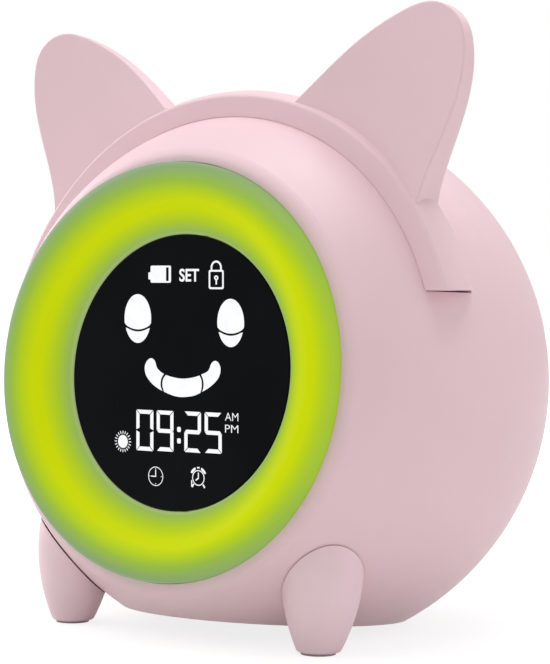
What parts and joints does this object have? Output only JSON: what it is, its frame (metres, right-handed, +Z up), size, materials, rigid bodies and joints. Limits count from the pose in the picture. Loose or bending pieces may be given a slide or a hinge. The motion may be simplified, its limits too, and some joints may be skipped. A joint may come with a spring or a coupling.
{
  "type": "alarm clock with night light",
  "caption": "Ball-shaped children's alarm clock with a glowing ring round its display, a headband of cat ears, two stub legs, and push keys and a speaker grille on its rear cover.",
  "frame": {"origin": "on the table under the middle of the bounding box", "axes": "+Z up, front of the clock faces -Y, +X to the right of someone who faces the display"},
  "size_m": [0.124, 0.11, 0.1362],
  "materials": {
    "body_pink": "satin painted moulding",
    "ring_diffuser": "translucent diffuser, lit yellow-green",
    "display_window": "clear gloss window, smoked black",
    "display_panel": "segment display",
    "backlight": "white light guide",
    "inner_frame": "plain moulding",
    "circuit_board": "coated board",
    "black_parts": "moulded",
    "lamp": "lamp body",
    "screw_steel": "zinc plated",
    "cell_wrap": "foil pouch",
    "magnet_steel": "plated",
    "socket_steel": "drawn shell",
    "pad_rubber": "soft",
    "key_plastic": "satin",
    "plunger_plastic": "moulded"
  },
  "bodies": {
    "clock_body": {"front_housing": "body_pink", "rear_housing": "body_pink", "ear_band": "body_pink", "left_leg": "body_pink", "right_leg": "body_pink", "rear_cover": "body_pink", "light_ring": "ring_diffuser", "display_lens": "display_window", "lcd_panel": "display_panel", "backlight_block": "backlight", "display_chassis": "inner_frame", "battery_tray": "inner_frame", "ring_board": "circuit_board", "main_board": "circuit_board", "key_board": "circuit_board", "usb_board": "circuit_board", "board_chips": "black_parts", "switch_bodies": "black_parts", "speaker_basket": "black_parts", "speaker_cone": "black_parts", "ring_leds": "lamp", "chassis_screws": "screw_steel", "main_board_screws": "screw_steel", "cover_screws": "screw_steel", "key_board_screws": "screw_steel", "leg_screws": "screw_steel", "battery_cell": "cell_wrap", "speaker_magnet": "magnet_steel", "usb_socket": "socket_steel", "left_foot_pad": "pad_rubber", "right_foot_pad": "pad_rubber", "rear_foot_pad": "pad_rubber"},
    "set_key": {"set_key": "key_plastic", "set_plunger": "plunger_plastic"},
    "alarm_key": {"alarm_key": "key_plastic", "alarm_plunger": "plunger_plastic"},
    "nap_key": {"nap_key": "key_plastic", "nap_plunger": "plunger_plastic"},
    "light_key": {"light_key": "key_plastic", "light_plunger": "plunger_plastic"},
    "plus_key": {"plus_key": "key_plastic", "plus_plunger": "plunger_plastic"},
    "minus_key": {"minus_key": "key_plastic", "minus_plunger": "plunger_plastic"}
  },
  "joints": [
    {"name": "set_key_press", "type": "slide", "parent": "clock_body", "child": "set_key", "axis": [0, -0.9976, 0.0698], "range_m": [0, 0.0006], "stiffness_N_per_m": 2000, "springref_m": -0.0002},
    {"name": "alarm_key_press", "type": "slide", "parent": "clock_body", "child": "alarm_key", "axis": [0, -0.9976, 0.0698], "range_m": [0, 0.0006], "stiffness_N_per_m": 2000, "springref_m": -0.0002},
    {"name": "nap_key_press", "type": "slide", "parent": "clock_body", "child": "nap_key", "axis": [0, -0.9976, 0.0698], "range_m": [0, 0.0006], "stiffness_N_per_m": 2000, "springref_m": -0.0002},
    {"name": "light_key_press", "type": "slide", "parent": "clock_body", "child": "light_key", "axis": [0, -0.9976, 0.0698], "range_m": [0, 0.0006], "stiffness_N_per_m": 2000, "springref_m": -0.0002},
    {"name": "plus_key_press", "type": "slide", "parent": "clock_body", "child": "plus_key", "axis": [0, -0.9976, 0.0698], "range_m": [0, 0.0006], "stiffness_N_per_m": 2000, "springref_m": -0.0002},
    {"name": "minus_key_press", "type": "slide", "parent": "clock_body", "child": "minus_key", "axis": [0, -0.9976, 0.0698], "range_m": [0, 0.0006], "stiffness_N_per_m": 2000, "springref_m": -0.0002}
  ]
}
